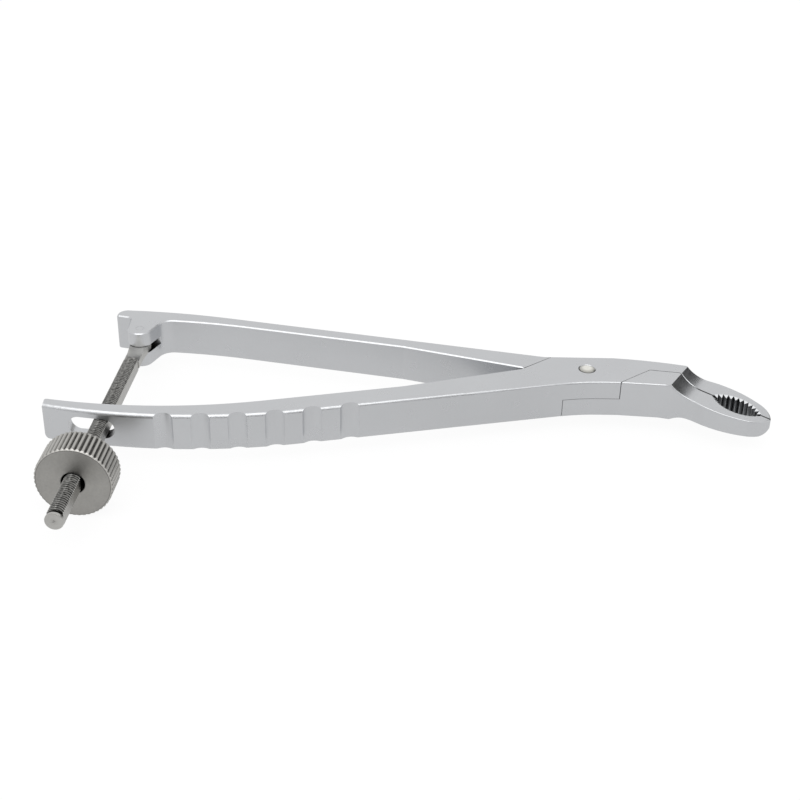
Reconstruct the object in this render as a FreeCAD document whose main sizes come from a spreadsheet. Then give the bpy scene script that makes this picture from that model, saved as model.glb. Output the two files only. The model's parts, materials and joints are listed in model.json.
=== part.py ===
import FreeCAD
import Part
import Sketcher
import math
import os

# Reduction forceps: two crossed arms with toothed, angled jaws, a pivot pin,
# and a threaded spindle with a knurled nut that holds the handles.
# Millimetres and degrees. The origin is the centre of the pivot at mid thickness,
# +X runs to the jaws, +Y to the far handle and +Z along the pivot.

DOC = FreeCAD.newDocument("reduction_forceps")
SHEET = DOC.addObject("Spreadsheet::Sheet", "sizes")

SIZES = [
    # Both arms and the half lap between them
    ("arm_thickness", 10.6, "height of both arms along the pivot"),
    ("shoulder_reach", 17.2, "pivot centre to the shoulder corners on the X axis"),
    ("shoulder_angle", 38.5, "lap shoulders to the X axis"),
    ("joint_near", 6.95, "pivot centre to the near edge of the joint"),
    ("joint_far", 6.3, "pivot centre to the far edge of the joint"),
    ("seam_gap", 0.2, "gap across each shoulder and between the closed jaws"),
    ("lap_gap", 0.1, "gap at the mid plane of the lap"),
    ("waist_x", 3.5, "end of the level stretch of the near edge"),
    ("waist_radius", 50, "hollow from the joint into the near handle"),
    ("crotch_angle", 18.2, "inner faces of the handles where they leave the joint"),
    ("crotch_length", 34.8, "length of those inner faces"),
    ("edge_round", 0.6, "rounding of the lower and far outer edges"),
    ("rim_round_rear", 1.3, "rounding of the near handle's upper outer edge at its rear"),
    ("rim_round_middle", 1.2, "the same rounding where the bow ends"),
    ("rim_round_front", 0.5, "the same rounding at the joint"),
    ("inner_bevel", 0.3, "bevel along the inner faces of the handles and round the lug"),
    ("edge_break", 0.25, "small bevel on the sharp edges"),
    # Near handle
    ("near_splay", 13.0, "straight part of the near handle to the X axis"),
    ("near_straight", 72.0, "length of that straight part"),
    ("near_bow", 140.0, "outer radius of the bowed rear part"),
    ("near_bow_sweep", 27.3, "turn of the bowed part"),
    ("near_inner_splay", 13.4, "inner face of the near handle to the X axis"),
    ("near_inner_straight", 38.0, "length of that inner face"),
    ("near_inner_bow", 130.0, "inner radius of the bowed rear part"),
    ("near_inner_sweep", 25.3, "turn of the inner bow"),
    ("end_round_upper", 0.9, "upper corner of the rear end seen from the side"),
    ("end_round_lower", 1.8, "lower corner of the rear end"),
    ("flute_count", 6, "grip flutes on the near handle"),
    ("flute_first", -112.2, "place of the rearmost flute along X"),
    ("flute_pitch", 9.69, "distance between flutes"),
    ("flute_radius", 3.45, "radius of the flute cutter"),
    ("flute_depth", 1.1, "depth of each flute"),
    ("slot_rear", -137.2, "rear end of the spindle slot along X"),
    ("slot_front", -124.9, "front end of the spindle slot along X"),
    ("slot_clearance", 0.35, "gap above and below the spindle in its slot"),
    # Far handle and its lug
    ("far_splay", 12.5, "straight part of the far handle to the X axis"),
    ("far_straight", 94.0, "length of that straight part"),
    ("far_bow", 165.0, "outer radius of the rear part"),
    ("far_bow_sweep", 11.2, "turn of the rear part"),
    ("far_inner_splay", 12.6, "inner face of the far handle to the X axis"),
    ("far_inner_straight", 46.0, "length of that inner face"),
    ("far_inner_bow", 150.0, "inner radius of the rear part"),
    ("tail_taper", 1.0, "loss of thickness along the tail behind the lug"),
    ("tail_thickness", 4.9, "thickness of the tail where it leaves the lug"),
    ("tail_round", 2.8, "outer corner of the tail"),
    ("tail_fillet", 1.2, "fillet between tail and lug"),
    ("hinge_x", -125.2, "spindle hinge along X"),
    ("hinge_y", 19.0, "spindle hinge along Y"),
    ("lug_radius", 3.45, "nose of the lug round the hinge"),
    ("lug_flare", 24.0, "front side of the lug to the Y axis"),
    ("lug_fillet", 4.0, "fillet between lug and handle"),
    # Jaws: s runs along the parting line from its bend, w across it
    ("jaw_root_x", 25.0, "bend of the parting line along X"),
    ("jaw_root_y", -1.24, "bend of the parting line along Y"),
    ("jaw_angle", 31.0, "jaws to the X axis, towards the near side"),
    ("jaw_length", 26.8, "bend of the parting line to the tip"),
    ("crease_s", 0.72, "where the full thickness ends"),
    ("neck_s", 6.0, "end of the narrow neck of each jaw"),
    ("neck_width", 6.1, "half width there"),
    ("neck_round", 11.0, "hollow between the neck and the cheek"),
    ("cheek_s", 22.0, "start of the rounded tip"),
    ("cheek_width", 5.2, "half width there"),
    ("cheek_radius", 25.0, "side of each jaw between them"),
    ("tip_radius", 8.2, "rounded tip seen from above"),
    ("flank_radius", 110.0, "far edge from the joint to the far jaw"),
    ("flank_x", 8.0, "start of that edge"),
    ("bend_x", 21.5, "bend of the near edge at the near jaw"),
    ("bend_y", -8.1, "bend of the near edge at the near jaw"),
    ("ramp_radius", 10.0, "hollow ramp down to the upper face of the jaws"),
    ("ramp_entry", 50.0, "slope of the ramp at the crease"),
    ("jaw_top_slope", 7.5, "slope of the upper face of the jaws"),
    ("belly_s", 1.3, "where the underside starts to thin"),
    ("belly_radius", 7.0, "hollow ramp on the underside"),
    ("belly_entry", 32.0, "slope of that ramp at the crease"),
    ("jaw_belly_slope", 2.5, "slope of the underside of the jaws"),
    ("chin_radius", 2.0, "lower corner of the jaw tips"),
    ("jaw_round", 0.35, "rounding of the upper outer rim of the jaws"),
    ("seam_bevel", 0.12, "bevel of the parting line on top"),
    ("mouth_start", 9.8, "start of the toothed opening"),
    ("mouth_end", 24.4, "end of the toothed opening"),
    ("mouth_depth", 3.95, "half width of the opening at the roots of the teeth"),
    ("tooth_count", 12, "teeth in each jaw"),
    ("tooth_depth", 1.0, "depth of the teeth"),
    ("tooth_span", 104.0, "angle from the first tooth gap to the last"),
    ("tooth_land", 0.12, "flat left on each tooth"),
    ("tooth_bevel", 0.45, "depth of the bevel on the upper ends of the teeth"),
    ("tooth_bevel_reach", 0.93, "reach of that bevel back from the crests"),
    # Pins
    ("pivot_radius", 2.1, "pivot pin"),
    ("pivot_dome", 0.5, "rise of the domed ends of the pivot pin"),
    ("pivot_sink", 0.28, "countersink round each end of the pivot pin"),
    ("pin_radius", 1.15, "spindle hinge pin"),
    ("pin_clearance", 0.04, "gap round the pins"),
    # Spindle and nut: distances run along the spindle from its hinge
    ("lean_angle", 4.55, "spindle to the Y axis"),
    ("rod_radius", 2.5, "threaded rod"),
    ("flat_half", 2.15, "centre of the rod to each of its two flats"),
    ("rod_start", 10.6, "hinge to the round part of the spindle"),
    ("rod_lead", 1.4, "ramp from the tongue up to the thread"),
    ("rod_end", 87.5, "hinge to the tip of the rod"),
    ("plain_length", 1.0, "reduced plain tip"),
    ("plain_radius", 2.35, "radius of the plain tip"),
    ("eye_radius", 2.9, "eye of the spindle"),
    ("eye_thickness", 2.05, "thickness of the eye"),
    ("eye_neck", 7.0, "hinge to where the eye has narrowed to the rod"),
    ("eye_gap", 0.12, "gap each side of the eye in its slit"),
    ("slit_relief", 0.35, "gap between the eye and the bottom of its slit"),
    ("nut_front", 71.2, "hinge to the outer face of the nut"),
    ("nut_length", 8.5, "length of the nut"),
    ("nut_radius", 9.8, "radius over the knurl"),
    ("nut_chamfer", 0.35, "chamfers at both ends of the nut"),
    ("nut_recess", 0.45, "widening of the bore at both faces"),
    ("nut_recess_depth", 0.9, "depth of that widening"),
    ("knurl_count", 48, "straight knurl grooves"),
    ("knurl_depth", 0.32, "depth of the knurl grooves"),
    ("knurl_land", 0.25, "flat left between two knurl grooves"),
    ("thread_clearance", 0.05, "gap between the rod and the bore of the nut"),
]


def fill_sheet():
    for row, (alias, value, note) in enumerate(SIZES, start=1):
        SHEET.set("A%d" % row, note)
        SHEET.set("B%d" % row, str(value))
        SHEET.setAlias("B%d" % row, alias)
    DOC.recompute()


def named(formula):
    """Formula with every size name written as a reference to the sheet."""
    out = ""
    word = ""
    for char in formula + " ":
        if char.isalnum() or char == "_":
            word += char
            continue
        out += "sizes." + word if word in ALIASES else word
        word = ""
        out += char
    return out.strip()


def number(formula):
    return float(SHEET.evalExpression(named(formula)))


ALIASES = {alias for alias, value, note in SIZES}
HALF_CIRCLE = "half circle"


def origin_plane(body, role):
    return [item for item in body.Origin.OriginFeatures if item.Role == role][0]


def new_body(label):
    body = DOC.addObject("PartDesign::Body", label)
    body.Label = label
    return body


def new_sketch(body, name, role="XY_Plane", place=None, turn=None):
    """Sketch on an origin plane, moved by formulas and turned about one of its own axes."""
    sketch = body.newObject("Sketcher::SketchObject", name)
    sketch.AttachmentSupport = [(origin_plane(body, role), "")]
    sketch.MapMode = "FlatFace"
    if turn:
        axis, angle = turn
        rotation = FreeCAD.Rotation(axis, 1.0)
        sketch.AttachmentOffset = FreeCAD.Placement(FreeCAD.Vector(), rotation)
        sketch.setExpression("AttachmentOffset.Rotation.Angle", named(angle))
    for letter, formula in zip("xyz", place or ()):
        sketch.setExpression("AttachmentOffset.Base." + letter, named(formula))
    return sketch


def bind(sketch, kind, parts, formula):
    """One dimension of a sketch, driven by a formula of named sizes."""
    index = sketch.addConstraint(Sketcher.Constraint(kind, *parts, number(formula)))
    label = "size_%d" % index
    sketch.renameConstraint(index, label)
    sketch.setExpression("Constraints." + label, named(formula))


def arc_between(start, end, radius, side):
    """Arc that leaves start bending to the left (side 1) or right (side -1)."""
    chord = end - start
    half = chord.Length / 2
    rise = math.sqrt(max(radius * radius - half * half, 0.0))
    normal = FreeCAD.Vector(-chord.y, chord.x, 0).normalize()
    centre = (start + end) * 0.5 + normal * (side * rise)
    first, last = (start, end) if side > 0 else (end, start)
    angles = [math.atan2(p.y - centre.y, p.x - centre.x) for p in (first, last)]
    circle = Part.Circle(centre, FreeCAD.Vector(0, 0, 1), radius)
    return Part.ArcOfCircle(circle, angles[0], angles[1])


def outline(sketch, corners):
    """Closed outline of corners (x, y) or (x, y, radius, side): the edge that leaves the corner
    is straight, or an arc of that radius that bends to the left (1) or right (-1). An upright or
    level half circle has the word for one in place of its radius."""
    points = [FreeCAD.Vector(number(c[0]), number(c[1]), 0) for c in corners]
    ends = []
    for index, corner in enumerate(corners):
        start = points[index]
        end = points[(index + 1) % len(points)]
        if len(corner) == 2:
            edge = sketch.addGeometry(Part.LineSegment(start, end))
            ends.append((edge, 1, 2))
            continue
        radius, side = corner[2:]
        if radius == HALF_CIRCLE:
            edge = sketch.addGeometry(arc_between(start, end, (end - start).Length / 2, side))
            kind, value = ("DistanceX", corner[0]) if start.x == end.x else ("DistanceY", corner[1])
            bind(sketch, kind, (-1, 1, edge, 3), value)
        else:
            edge = sketch.addGeometry(arc_between(start, end, number(radius), side))
            bind(sketch, "Radius", (edge,), radius)
        ends.append((edge, 1, 2) if side > 0 else (edge, 2, 1))
    for index, corner in enumerate(corners):
        edge, start, end = ends[index]
        last, last_start, last_end = ends[index - 1]
        sketch.addConstraint(Sketcher.Constraint("Coincident", last, last_end, edge, start))
        bind(sketch, "DistanceX", (-1, 1, edge, start), corner[0])
        bind(sketch, "DistanceY", (-1, 1, edge, start), corner[1])


def circle(sketch, x, y, radius):
    centre = FreeCAD.Vector(number(x), number(y), 0)
    edge = sketch.addGeometry(Part.Circle(centre, FreeCAD.Vector(0, 0, 1), number(radius)))
    bind(sketch, "Radius", (edge,), radius)
    bind(sketch, "DistanceX", (-1, 1, edge, 3), x)
    bind(sketch, "DistanceY", (-1, 1, edge, 3), y)


def feature(body, kind, name, sketch, length, reverse=False, both=False):
    item = body.newObject("PartDesign::" + kind, name)
    item.Profile = sketch
    item.setExpression("Length", named(length))
    item.Reversed = reverse
    if both:
        item.SideType = "Symmetric"
    sketch.Visibility = False
    DOC.recompute()
    return item


def chain(item, points):
    """Names of the edges of a feature that join neighbours in a list of (x, y, z) points."""
    spots = [FreeCAD.Vector(*[number(value) for value in point]) for point in points]
    names = []
    for index, edge in enumerate(item.Shape.Edges, start=1):
        tips = [vertex.Point for vertex in edge.Vertexes]
        for first, second in zip(spots, spots[1:]):
            if len(tips) == 2 and min(
                    max((tips[0] - first).Length, (tips[1] - second).Length),
                    max((tips[1] - first).Length, (tips[0] - second).Length)) < 0.001:
                names.append("Edge%d" % index)
    return names


def both_rims(item, points):
    """Edges along (x, y) points on the upper and the lower face of an arm."""
    names = []
    for height in ("arm_thickness / 2", "-arm_thickness / 2"):
        names += chain(item, [point[:2] + (height,) for point in points])
    return names


def upright(item, point):
    """The edge through a corner of an outline, from the lower face to the upper one."""
    return chain(item, [point[:2] + ("-arm_thickness / 2",), point[:2] + ("arm_thickness / 2",)])


def ring_edge(item, height):
    """The circle of the pivot hole at a height."""
    level = number(height)
    radius = number("pivot_radius + pin_clearance")
    names = []
    for index, edge in enumerate(item.Shape.Edges, start=1):
        round_hole = len(edge.Vertexes) == 1 and abs(edge.Length - 2 * math.pi * radius) < 0.001
        if round_hole and abs(edge.Vertexes[0].Z - level) < 0.001:
            names.append("Edge%d" % index)
    return names


def sink_pivot_hole(body, hole, height):
    """Countersink that shows as a ring round the end of the pivot pin."""
    bevel_edges(body, "pivot_sink", hole, ring_edge(hole, height), "pivot_sink")


def round_edges(body, name, item, edges, radius):
    if not edges:
        raise RuntimeError("no edges for " + name)
    fillet = body.newObject("PartDesign::Fillet", name)
    fillet.Base = (item, edges)
    fillet.setExpression("Radius", named(radius))
    DOC.recompute()
    return fillet


def bevel_edges(body, name, item, edges, size):
    if not edges:
        raise RuntimeError("no edges for " + name)
    bevel = body.newObject("PartDesign::Chamfer", name)
    bevel.Base = (item, edges)
    bevel.setExpression("Size", named(size))
    DOC.recompute()
    return bevel


def polar(base, along, distance):
    """Formulas of a point at a distance from a base point, along an angle formula."""
    x, y = base
    return ("%s + (%s) * cos(%s)" % (x, distance, along), "%s + (%s) * sin(%s)" % (y, distance, along))


def jaw_point(along, across):
    """Point of the jaw frame: s along the closed jaws from the bend, w towards the far side."""
    x = "jaw_root_x + (%s) * cos(jaw_angle) + (%s) * sin(jaw_angle)" % (along, across)
    y = "jaw_root_y - (%s) * sin(jaw_angle) + (%s) * cos(jaw_angle)" % (along, across)
    return (x, y)


def shoulder_end(x_side, edge, y_side):
    """Where a lap shoulder meets the near or far edge of the joint."""
    x = "%s * (shoulder_reach - %s / tan(shoulder_angle))" % (x_side, edge)
    return (x, "%s * %s" % (y_side, edge))


def near_root():
    """Where a lap shoulder meets the hollow between the joint and the near handle."""
    width = "((shoulder_reach + waist_x) / tan(shoulder_angle) + waist_radius + joint_near)"
    power = "((shoulder_reach + waist_x) ^ 2 + (waist_radius + joint_near) ^ 2 - waist_radius ^ 2)"
    edge = "(sin(shoulder_angle) ^ 2 * (%s - sqrt(%s ^ 2 - %s / sin(shoulder_angle) ^ 2)))" % (
        width, width, power)
    return shoulder_end("-1", edge, "-1")


def near_handle_points():
    """Near edge of the joint, outer bow, rear end and inner face of the near handle."""
    waist = ("waist_x", "-joint_near")
    blend = ("waist_x - waist_radius * sin(near_splay)",
             "-joint_near - waist_radius * (1 - cos(near_splay))")
    bow = polar(blend, "180 + near_splay", "near_straight")
    centre = polar(bow, "90 + near_splay", "near_bow")
    rear = polar(centre, "near_splay - near_bow_sweep - 90", "near_bow")
    crotch = ("-shoulder_reach", "0")
    knee = polar(crotch, "180 + crotch_angle", "crotch_length")
    inner = polar(knee, "180 + near_inner_splay", "near_inner_straight")
    inner_centre = polar(inner, "90 + near_inner_splay", "near_inner_bow")
    inner_rear = polar(inner_centre, "near_inner_splay - near_inner_sweep - 90", "near_inner_bow")
    return {"waist": waist, "blend": blend, "bow": bow, "centre": centre, "rear": rear,
            "crotch": crotch, "knee": knee, "inner": inner, "inner_rear": inner_rear}


def far_handle_points():
    """Outer edge, tail, lug and inner face of the far handle."""
    root = shoulder_end("-1", "joint_far", "1")
    bow = polar(root, "180 - far_splay", "far_straight")
    centre = polar(bow, "-90 - far_splay", "far_bow")
    rear = polar(centre, "90 - far_splay + far_bow_sweep", "far_bow")
    crotch = ("-shoulder_reach", "0")
    knee = polar(crotch, "180 - crotch_angle", "crotch_length")
    inner = polar(knee, "180 - far_inner_splay", "far_inner_straight")
    inner_centre = polar(inner, "-90 - far_inner_splay", "far_inner_bow")
    nose_end = polar(("hinge_x", "hinge_y"), "-lug_flare", "lug_radius")
    from_centre = ["(%s - (%s))" % pair for pair in zip(nose_end, inner_centre)]
    towards = "(%s * sin(lug_flare) + %s * cos(lug_flare))" % tuple(from_centre)
    inside = "(far_inner_bow ^ 2 - %s ^ 2 - %s ^ 2)" % tuple(from_centre)
    meet = polar(nose_end, "90 - lug_flare", "sqrt(%s ^ 2 + %s) - %s" % (towards, inside, towards))
    return {"root": root, "bow": bow, "centre": centre, "rear": rear, "crotch": crotch, "knee": knee,
            "inner": inner, "nose_end": nose_end, "meet": meet}


def far_jaw_edge(side):
    """Neck, cheek and tip of one jaw: side 1 is the far jaw and side -1 the near one."""
    sign = "" if side > 0 else "-"
    neck = jaw_point("neck_s", sign + "neck_width")
    cheek = jaw_point("cheek_s", sign + "cheek_width")
    tip = jaw_point("jaw_length", sign + "seam_gap / 2")
    return neck, cheek, tip


def parting_line(side):
    """Tip, bend and shoulder corner of the parting line, half the seam gap to one side."""
    sign = "" if side > 0 else "-"
    bend = jaw_point("0", sign + "seam_gap / 2")
    corner = ("shoulder_reach", sign + "seam_gap / 2")
    return bend, corner


def near_arm_outline(sketch):
    near = near_handle_points()
    neck, cheek, tip = far_jaw_edge(1)
    bend, corner = parting_line(1)
    lap_end = shoulder_end("1", "joint_near", "-1")
    far_end = shoulder_end("-1", "joint_far", "1")
    outline(sketch, [
        near["rear"] + ("near_bow", 1),
        near["bow"],
        near["blend"] + ("waist_radius", -1),
        near["waist"],
        (lap_end[0] + " - seam_gap / 2", lap_end[1]),
        corner,
        bend,
        tip + ("tip_radius", 1),
        cheek + ("cheek_radius", 1),
        neck + ("flank_radius", 1),
        ("flank_x", "joint_far"),
        (far_end[0] + " + seam_gap / 2", far_end[1]),
        ("-shoulder_reach + seam_gap / 2", "-seam_gap / 2"),
        near["knee"],
        near["inner"] + ("near_inner_bow", -1),
        near["inner_rear"],
    ])


def far_arm_outline(sketch):
    far = far_handle_points()
    near = near_handle_points()
    neck, cheek, tip = far_jaw_edge(-1)
    bend, corner = parting_line(-1)
    lug_left = "hinge_x - lug_radius"
    root = near_root()
    tail_y = far["rear"][1] + " - tail_thickness"
    outline(sketch, [
        far["rear"],
        far["rear"][:1] + (tail_y + " + tail_taper",),
        (lug_left, tail_y),
        (lug_left, "hinge_y", "lug_radius", 1),
        far["nose_end"],
        far["meet"] + ("far_inner_bow", -1),
        far["inner"],
        far["knee"],
        ("-shoulder_reach + seam_gap / 2", "seam_gap / 2"),
        (root[0] + " + seam_gap / 2", root[1], "waist_radius", -1),
        near["waist"],
        shoulder_end("1", "joint_near", "-1"),
        ("bend_x", "bend_y"),
        neck + ("cheek_radius", 1),
        cheek + ("tip_radius", 1),
        tip,
        bend,
        corner,
        shoulder_end("1", "joint_far", "1"),
        far["root"],
        far["bow"] + ("far_bow", 1),
    ])


def cut_lap(body, side):
    """Takes half the thickness out of the joint: side 1 from the upper half, -1 from the lower."""
    sign = "" if side > 0 else "-"
    turn = "-" if side > 0 else ""
    reach = "2 * (joint_near + joint_far)"
    sketch = new_sketch(body, "lap_outline", place=("0", "0", turn + "lap_gap / 2"))
    across = "(%s) / tan(shoulder_angle)" % reach
    gap = "seam_gap / 2"
    outline(sketch, [
        ("-shoulder_reach - " + gap, "0"),
        ("-shoulder_reach - %s + %s" % (gap, across), "%s(%s)" % (sign, reach)),
        ("shoulder_reach + " + gap, "%s(%s)" % (sign, reach)),
        ("shoulder_reach + " + gap, "0"),
        ("shoulder_reach + %s - %s" % (gap, across), "%s(%s)" % (turn, reach)),
        ("-shoulder_reach - " + gap, "%s(%s)" % (turn, reach)),
    ])
    return feature(body, "Pocket", "lap", sketch, "arm_thickness", reverse=side > 0)


def jaw_side_sketch(body, name):
    """Sketch on the upright plane of the parting line: x is s and y is z."""
    return new_sketch(body, name, "XZ_Plane", ("jaw_root_x", "0", "-jaw_root_y"),
                      (FreeCAD.Vector(0, 1, 0), "-jaw_angle"))


def ramp_end():
    """End of the hollow ramp on top, where the even slope of the jaw starts."""
    return ("crease_s + ramp_radius * (sin(ramp_entry) - sin(jaw_top_slope))",
            "arm_thickness / 2 - ramp_radius * (cos(jaw_top_slope) - cos(ramp_entry))")


def thin_jaw(body):
    """Hollow ramps and sloping faces that thin the jaw on both sides."""
    top = "arm_thickness / 2"
    width = "4 * (joint_near + joint_far)"
    end = "jaw_length + arm_thickness"
    ramp_s, ramp_z = ramp_end()
    sketch = jaw_side_sketch(body, "jaw_top")
    outline(sketch, [
        ("crease_s", top, "ramp_radius", 1),
        (ramp_s, ramp_z),
        (end, "%s - (%s - (%s)) * tan(jaw_top_slope)" % (ramp_z, end, ramp_s)),
        (end, "arm_thickness"),
        ("crease_s", "arm_thickness"),
    ])
    feature(body, "Pocket", "jaw_top_cut", sketch, width, both=True)
    belly_end = "belly_s + belly_radius * (sin(belly_entry) + sin(jaw_belly_slope))"
    belly_z = "belly_radius * (cos(jaw_belly_slope) - cos(belly_entry)) - " + top
    sketch = jaw_side_sketch(body, "jaw_belly")
    chin_s = "jaw_length - chin_radius"
    chin_z = "%s - (%s - (%s)) * tan(jaw_belly_slope)" % (belly_z, chin_s, belly_end)
    outline(sketch, [
        ("belly_s", "-" + top, "belly_radius", -1),
        (belly_end, belly_z),
        (chin_s, chin_z, "chin_radius", 1),
        ("jaw_length", chin_z + " + chin_radius"),
        (end, chin_z + " + chin_radius"),
        (end, "-arm_thickness"),
        ("belly_s", "-arm_thickness"),
    ])
    feature(body, "Pocket", "jaw_belly_cut", sketch, width, both=True)


def jaw_edges(item, side, outer):
    """Upper edges of the thinned jaw: its outer rim, or else its parting line."""
    angle = math.radians(number("jaw_angle"))
    root = FreeCAD.Vector(number("jaw_root_x"), number("jaw_root_y"), 0)
    along = FreeCAD.Vector(math.cos(angle), -math.sin(angle), 0)
    across = FreeCAD.Vector(math.sin(angle), math.cos(angle), 0) * side
    names = []
    for index, edge in enumerate(item.Shape.Edges, start=1):
        ends = [vertex.Point - root for vertex in edge.Vertexes]
        if len(ends) != 2 or min(end.z for end in ends) < number("-arm_thickness / 4"):
            continue
        places = [end.dot(along) for end in ends]
        widths = [end.dot(across) for end in ends]
        crossing = abs(places[0] - places[1]) < 0.01
        if crossing or min(places) < number("crease_s") - 0.01:
            continue
        if outer == (max(widths) > number("seam_gap")):
            names.append("Edge%d" % index)
    return names


def soften_jaw(body, side):
    """Rounds the outer rim of the jaw and bevels its parting line, both on the upper face."""
    rim = round_edges(body, "jaw_rim", body.Tip, jaw_edges(body.Tip, side, True), "jaw_round")
    bevel_edges(body, "parting_bevel", rim, jaw_edges(rim, side, False), "seam_bevel")


def bevel_teeth(body, side, middle, centre, root_radius, crest):
    """Conical cut that bevels the upper ends of the teeth. Its axis is square to the upper face."""
    ramp_s, ramp_z = ramp_end()
    height = "%s - (%s - (%s)) * tan(jaw_top_slope)" % (ramp_z, middle, ramp_s)
    plane = body.newObject("PartDesign::Plane", "tooth_bevel_plane")
    plane.AttachmentSupport = [(origin_plane(body, "XZ_Plane"), "")]
    plane.MapMode = "FlatFace"
    plane.AttachmentOffset = FreeCAD.Placement(
        FreeCAD.Vector(), FreeCAD.Rotation(FreeCAD.Vector(0, 1, 0), 1.0))
    plane.setExpression("AttachmentOffset.Rotation.Angle", named("%d - jaw_angle" % (90 * side)))
    for letter, formula in zip("xyz", (centre[0], height, "-(%s)" % centre[1])):
        plane.setExpression("AttachmentOffset.Base." + letter, named(formula))
    plane.Visibility = False
    sketch = body.newObject("Sketcher::SketchObject", "tooth_bevel_profile")
    sketch.AttachmentSupport = [(plane, "")]
    sketch.MapMode = "FlatFace"
    sketch.AttachmentOffset = FreeCAD.Placement(
        FreeCAD.Vector(), FreeCAD.Rotation(FreeCAD.Vector(1, 0, 0), 1.0))
    sketch.setExpression("AttachmentOffset.Rotation.Angle", named("%d * jaw_top_slope" % side))
    inner = "(%s - tooth_depth / 4)" % crest
    low = "-tooth_bevel * (tooth_bevel_reach + tooth_depth / 4) / tooth_bevel_reach"
    outer = "(%s + tooth_bevel_reach)" % crest
    outline(sketch, [(outer, "0"), (outer, "tooth_depth"), (inner, "tooth_depth"), (inner, low)])
    cut = body.newObject("PartDesign::Groove", "tooth_bevel")
    cut.Profile = sketch
    cut.ReferenceAxis = (sketch, ["V_Axis"])
    cut.Angle = 360
    sketch.Visibility = False
    body.Tip = cut
    DOC.recompute()


def cut_teeth(body, side):
    """Leaf-shaped opening with teeth: side 1 in the far jaw and -1 in the near one."""
    sign = "" if side > 0 else "-"
    depth = "2 * arm_thickness"
    middle = "(mouth_start + mouth_end) / 2"
    half = "(mouth_end - mouth_start) / 2"
    root_radius = "((%s) ^ 2 + mouth_depth ^ 2) / (2 * mouth_depth)" % half
    centre_x, centre_y = jaw_point(middle, sign + "(mouth_depth - (%s))" % root_radius)
    turn = (FreeCAD.Vector(0, 0, 1), "-jaw_angle")
    base = "(%s - mouth_depth)" % root_radius
    crest = "(%s - tooth_depth)" % root_radius
    reach = "sqrt(%s ^ 2 - %s ^ 2)" % (crest, base)
    back = "(%s - 1)" % base
    sketch = new_sketch(body, "mouth_outline", place=(centre_x, centre_y, "0"), turn=turn)
    outline(sketch, [
        ("-" + reach, sign + back),
        (reach, sign + back),
        (reach, sign + base, crest, side),
        ("-" + reach, sign + base),
    ])
    feature(body, "Pocket", "mouth", sketch, depth, both=True)
    sketch = new_sketch(body, "tooth_gap_outline", place=(centre_x, centre_y, "0"), turn=turn)
    step = "(tooth_span / (tooth_count - 1))"
    wide = "(%s * %s / 2 - tooth_land / 2)" % (crest, "tan(%s)" % step)
    inside = "(%s - tooth_depth / 2)" % crest
    first = "(90 - tooth_span / 2)"
    outline(sketch, [
        polar(("0", "0"), sign + first, root_radius),
        spoke(first, sign, crest, wide),
        spoke(first, sign, inside, wide),
        spoke(first, sign, inside, "-" + wide),
        spoke(first, sign, crest, "-" + wide),
    ])
    gap = feature(body, "Pocket", "tooth_gap", sketch, depth, both=True)
    pattern = body.newObject("PartDesign::PolarPattern", "teeth")
    pattern.Originals = [gap]
    pattern.Axis = (sketch, ["N_Axis"])
    pattern.Reversed = side < 0
    pattern.Mode = "Extent"
    pattern.setExpression("Angle", named("tooth_span"))
    pattern.setExpression("Occurrences", named("tooth_count"))
    body.Tip = pattern
    DOC.recompute()
    bevel_teeth(body, side, middle, (centre_x, centre_y), root_radius, crest)


def spoke(angle, sign, radius, offset):
    """Point at a radius and a sideways offset along a spoke, mirrored by the sign."""
    x = "%s * cos(%s) - (%s) * sin(%s)" % (radius, angle, offset, angle)
    y = "%s * sin(%s) + (%s) * cos(%s)" % (radius, angle, offset, angle)
    return (x, "%s(%s)" % (sign, y))


def drill(body, name, x, y, radius):
    sketch = new_sketch(body, name + "_circle")
    circle(sketch, x, y, radius)
    return feature(body, "Pocket", name, sketch, "2 * arm_thickness", both=True)


def make_near_arm():
    body = new_body("near_arm")
    sketch = new_sketch(body, "near_outline")
    near_arm_outline(sketch)
    blank = feature(body, "Pad", "near_blank", sketch, "arm_thickness", both=True)
    round_near_handle(body, blank)
    cut_lap(body, -1)
    thin_jaw(body)
    soften_jaw(body, 1)
    cut_teeth(body, 1)
    hole = drill(body, "pivot_hole", "0", "0", "pivot_radius + pin_clearance")
    sink_pivot_hole(body, hole, "arm_thickness / 2")
    cut_flutes(body)
    cut_slot(body)
    return body


def round_near_handle(body, blank):
    """Softens the near handle all round. Both outer rims are swept, and the rounding of the upper
    one gets smaller towards the joint."""
    near = near_handle_points()
    item = blank
    for sign, radius in (("", "end_round_upper"), ("-", "end_round_lower")):
        height = sign + "arm_thickness / 2"
        rear = chain(item, [near["rear"] + (height,), near["inner_rear"] + (height,)])
        item = round_edges(body, "rear_corner", item, rear, radius)
    inner = both_rims(item, [near["knee"], near["inner"]])
    bevel_edges(body, "inner_rims", item, inner, "inner_bevel")
    sweep_rim(body, blank, "upper_rim", "", ("rim_round_rear", "rim_round_middle", "rim_round_front"))
    sweep_rim(body, blank, "lower_rim", "-", ("edge_round", "edge_round", "edge_round"))


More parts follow.
